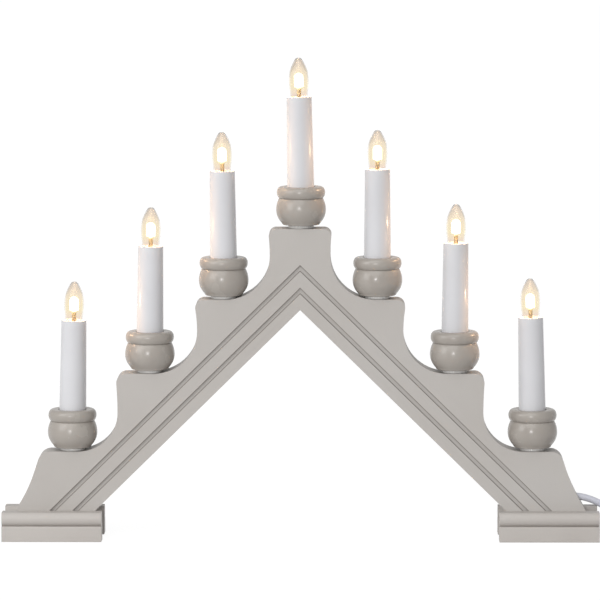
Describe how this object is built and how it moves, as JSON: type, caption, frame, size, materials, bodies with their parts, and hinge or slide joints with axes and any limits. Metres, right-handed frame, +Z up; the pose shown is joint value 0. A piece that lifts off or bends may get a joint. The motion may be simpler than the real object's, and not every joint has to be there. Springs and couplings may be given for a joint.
{
  "type": "candle arch",
  "caption": "Stepped painted wood arch on moulded foot rails, with turned cups that hold electric candles and a mains cord.",
  "frame": {"origin": "on the ground, under the middle of the arch, measured without the cord and its plug", "axes": "+X along the arch to the right seen from the front, +Y to the back, +Z up; the front face of the board looks along -Y"},
  "size_m": [0.5351, 0.0777, 0.347],
  "materials": {
    "painted_wood": "satin grey-beige paint",
    "cup_paint": "satin grey-beige paint",
    "sleeve": "gloss white",
    "holder": "matt white",
    "glass": "clear, slightly warm",
    "brass": "bright",
    "lit_body": "glowing warm white",
    "washer": "translucent clear",
    "steel": "zinc plated",
    "wire": "white insulation",
    "cord": "white sheath",
    "plug": "white moulding",
    "pins": "nickel plated"
  },
  "bodies": {
    "arch": {"arch_board": "painted_wood", "foot_rail_left_front": "painted_wood", "foot_rail_left_back": "painted_wood", "foot_rail_right_front": "painted_wood", "foot_rail_right_back": "painted_wood", "rail_screws": "steel", "candle_cup_1": "cup_paint", "candle_sleeve_1": "sleeve", "lampholder_1": "holder", "candle_cup_2": "cup_paint", "candle_sleeve_2": "sleeve", "lampholder_2": "holder", "candle_cup_3": "cup_paint", "candle_sleeve_3": "sleeve", "lampholder_3": "holder", "candle_cup_4": "cup_paint", "candle_sleeve_4": "sleeve", "lampholder_4": "holder", "candle_cup_5": "cup_paint", "candle_sleeve_5": "sleeve", "lampholder_5": "holder", "candle_cup_6": "cup_paint", "candle_sleeve_6": "sleeve", "lampholder_6": "holder", "candle_cup_7": "cup_paint", "candle_sleeve_7": "sleeve", "lampholder_7": "holder", "holder_contacts": "brass", "stem_tubes": "steel", "stem_nuts": "steel", "cup_washers": "washer", "series_wires": "wire", "wire_staples": "steel", "cord_grip": "plug", "cord_grip_nail": "steel", "power_cord": "cord", "power_cord_coil": "cord", "plug_body": "plug", "plug_pins": "pins"},
    "bulb_1": {"bulb_glass_1": "glass", "bulb_cap_1": "brass", "bulb_led_1": "lit_body"},
    "bulb_2": {"bulb_glass_2": "glass", "bulb_cap_2": "brass", "bulb_led_2": "lit_body"},
    "bulb_3": {"bulb_glass_3": "glass", "bulb_cap_3": "brass", "bulb_led_3": "lit_body"},
    "bulb_4": {"bulb_glass_4": "glass", "bulb_cap_4": "brass", "bulb_led_4": "lit_body"},
    "bulb_5": {"bulb_glass_5": "glass", "bulb_cap_5": "brass", "bulb_led_5": "lit_body"},
    "bulb_6": {"bulb_glass_6": "glass", "bulb_cap_6": "brass", "bulb_led_6": "lit_body"},
    "bulb_7": {"bulb_glass_7": "glass", "bulb_cap_7": "brass", "bulb_led_7": "lit_body"}
  },
  "joints": [
    {"name": "bulb_1_unscrew", "type": "slide", "parent": "arch", "child": "bulb_1", "axis": [0.0209, 0, 0.9998], "range_m": [0, 0.009]},
    {"name": "bulb_2_unscrew", "type": "slide", "parent": "arch", "child": "bulb_2", "axis": [0.014, 0, 0.9999], "range_m": [0, 0.009]},
    {"name": "bulb_3_unscrew", "type": "slide", "parent": "arch", "child": "bulb_3", "axis": [-0.0105, 0, 0.9999], "range_m": [0, 0.009]},
    {"name": "bulb_4_unscrew", "type": "slide", "parent": "arch", "child": "bulb_4", "axis": [-0.0166, 0, 0.9999], "range_m": [0, 0.009]},
    {"name": "bulb_5_unscrew", "type": "slide", "parent": "arch", "child": "bulb_5", "axis": [0, 0, 1], "range_m": [0, 0.009]},
    {"name": "bulb_6_unscrew", "type": "slide", "parent": "arch", "child": "bulb_6", "axis": [0.0079, 0, 1], "range_m": [0, 0.009]},
    {"name": "bulb_7_unscrew", "type": "slide", "parent": "arch", "child": "bulb_7", "axis": [-0.0218, 0, 0.9998], "range_m": [0, 0.009]}
  ]
}
